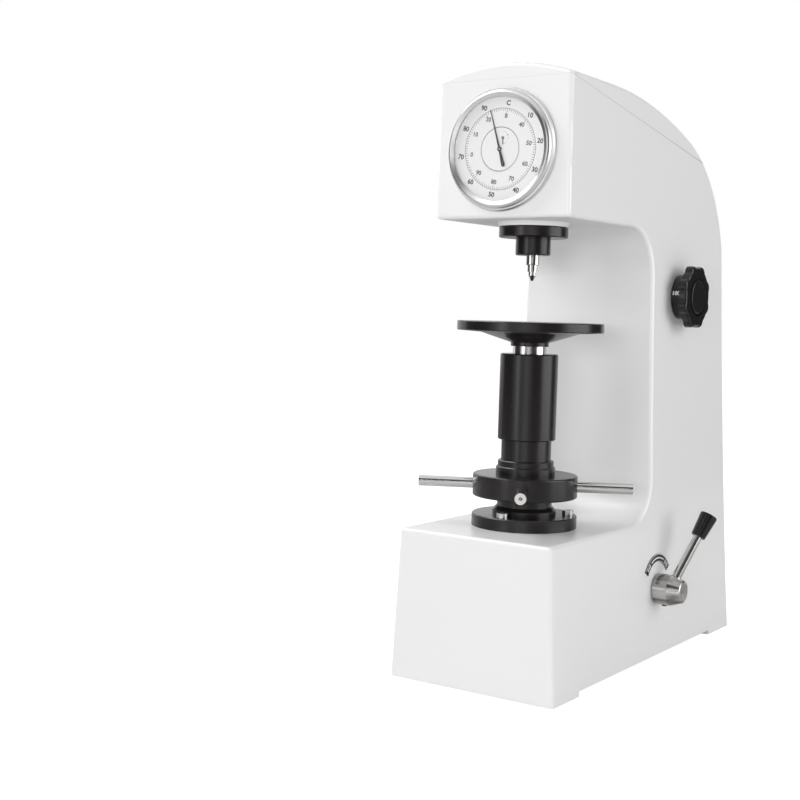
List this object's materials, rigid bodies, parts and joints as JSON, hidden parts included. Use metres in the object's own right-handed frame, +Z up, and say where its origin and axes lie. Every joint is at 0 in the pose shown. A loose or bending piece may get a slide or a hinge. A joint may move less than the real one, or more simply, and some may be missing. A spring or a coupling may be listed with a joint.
{
  "type": "hardness testing machine",
  "caption": "Bench hardness tester: C-frame with dial gauge, hand-wound elevating table, spindle, force selector and loading lever over dead weights.",
  "frame": {"origin": "on the floor and the mid-plane, under the middle of the front foot", "axes": "+X is the operator's right, where the controls are, +Y runs to the machine's back, +Z is up along the elevating screw"},
  "size_m": [0.2448, 0.4654, 0.63],
  "materials": {
    "enamel": "glossy off-white enamel",
    "cover_paint": "satin off-white paint",
    "black_steel": "oil-blackened steel",
    "turned_steel": "bright turned steel",
    "ground_steel": "ground and oiled steel",
    "screw_steel": "zinc-plated steel",
    "chrome": "polished chrome plating",
    "lever_iron": "painted grey cast iron",
    "weight_iron": "turned cast iron, oiled",
    "bronze": "plain bearing bronze",
    "black_plastic": "moulded, fine sheen",
    "plate_print": "printed plate",
    "dial_white": "white-lacquered dial",
    "clock_brass": "clock brass",
    "hand_blue": "blackened hand",
    "clear": "clear pressed crystal"
  },
  "bodies": {
    "frame": {"frame_casting": "enamel", "top_cover": "enamel", "rear_cover": "cover_paint", "rear_cover_screws": "screw_steel", "arc_plate": "plate_print", "screw_flange": "black_steel", "flange_screws": "screw_steel", "guide_key": "ground_steel", "lower_race": "ground_steel", "bearing_balls": "ground_steel", "spindle_cap": "black_steel", "spindle_bush": "bronze", "fulcrum_bracket": "lever_iron", "dashpot_cylinder": "ground_steel", "dashpot_lid": "ground_steel", "lever_shaft_bushes": "bronze", "rod_guide": "screw_steel", "selector_bushes": "bronze", "catch_guide": "screw_steel", "dial_housing": "clock_brass", "centre_plate": "dial_white", "movement_plate": "clock_brass"},
    "handwheel": {"handwheel": "black_steel", "handwheel_rods": "turned_steel", "upper_race": "ground_steel", "guard_inner": "black_steel"},
    "screw": {"elevating_screw": "ground_steel", "work_table": "black_steel", "guard_outer": "black_steel"},
    "spindle": {"spindle": "turned_steel", "indenter_holder": "turned_steel", "indenter_tip": "ground_steel"},
    "main_lever": {"main_lever": "lever_iron", "lever_knives": "ground_steel"},
    "hanger": {"weight_hanger": "ground_steel", "weight_upper": "weight_iron", "weight_middle": "weight_iron", "weight_lower": "weight_iron", "dashpot_piston": "ground_steel"},
    "load_lever": {"lever_shaft": "turned_steel", "load_cam": "ground_steel", "lever_hub": "turned_steel", "lever_rod": "turned_steel", "lever_grip": "black_plastic"},
    "lift_rod": {"lift_rod": "ground_steel", "cam_roller": "ground_steel"},
    "selector": {"selector_shaft": "ground_steel", "selector_knob": "black_plastic", "knob_cap": "black_plastic", "selector_cam": "ground_steel"},
    "catch": {"catch_frame": "ground_steel", "catch_follower": "ground_steel"},
    "bezel": {"bezel": "chrome", "crystal": "clear", "dial_plate": "dial_white"},
    "pointer": {"pointer": "hand_blue", "pointer_arbor": "clock_brass"},
    "counter": {"counter_wheel": "clock_brass", "counter_pointer": "hand_blue"}
  },
  "joints": [
    {"name": "handwheel_spin", "type": "hinge", "parent": "frame", "child": "handwheel", "pos_m": [0, 0.0755, 0.2], "axis": [0, 0, 1], "range_deg": [-2880, 1296]},
    {"name": "screw_lift", "type": "slide", "parent": "frame", "child": "screw", "axis": [0, 0, 1], "range_m": [-0.018, 0.04]},
    {"name": "spindle_slide", "type": "slide", "parent": "frame", "child": "spindle", "axis": [0, 0, 1], "range_m": [0, 0.0006]},
    {"name": "main_lever_tilt", "type": "hinge", "parent": "frame", "child": "main_lever", "pos_m": [0, 0.0605, 0.5212], "axis": [1, 0, 0], "range_deg": [-1.5, 0]},
    {"name": "hanger_drop", "type": "slide", "parent": "frame", "child": "hanger", "axis": [0, 0, 1], "range_m": [-0.00762, 0]},
    {"name": "load_lever", "type": "hinge", "parent": "frame", "child": "load_lever", "pos_m": [0, 0.2205, 0.0795], "axis": [1, 0, 0], "range_deg": [0, 100.01]},
    {"name": "lift_rod_slide", "type": "slide", "parent": "frame", "child": "lift_rod", "axis": [0, 0, 1], "range_m": [-0.00441, 0]},
    {"name": "selector_knob", "type": "hinge", "parent": "frame", "child": "selector", "pos_m": [0, 0.2775, 0.405], "axis": [1, 0, 0], "range_deg": [-120, 120]},
    {"name": "catch_lift", "type": "slide", "parent": "frame", "child": "catch", "axis": [0, 0, 1], "range_m": [-0.005, 0.005]},
    {"name": "bezel_turn", "type": "hinge", "parent": "frame", "child": "bezel", "pos_m": [0, 0.0055, 0.544], "axis": [0, 1, 0], "continuous": true},
    {"name": "pointer_spin", "type": "hinge", "parent": "frame", "child": "pointer", "pos_m": [0, 0.0055, 0.544], "axis": [0, 1, 0], "range_deg": [0, 1080.5]},
    {"name": "counter_spin", "type": "hinge", "parent": "frame", "child": "counter", "pos_m": [0.0031, 0.0055, 0.5551], "axis": [0, 1, 0], "range_deg": [-108.1, 0]}
  ],
  "couplings": [
    {"joint": "screw_lift", "follows": "handwheel_spin", "m_per_rad": -0.00079577},
    {"joint": "pointer_spin", "follows": "spindle_slide", "rad_per_m": 31416},
    {"joint": "counter_spin", "follows": "spindle_slide", "rad_per_m": -3141.6},
    {"joint": "load_lever", "follows": "main_lever_tilt", "ratio": -66.667},
    {"joint": "hanger_drop", "follows": "main_lever_tilt", "m_per_rad": 0.291},
    {"joint": "lift_rod_slide", "follows": "main_lever_tilt", "m_per_rad": 0.16807},
    {"joint": "catch_lift", "follows": "selector_knob", "m_per_rad": -0.0023873}
  ]
}
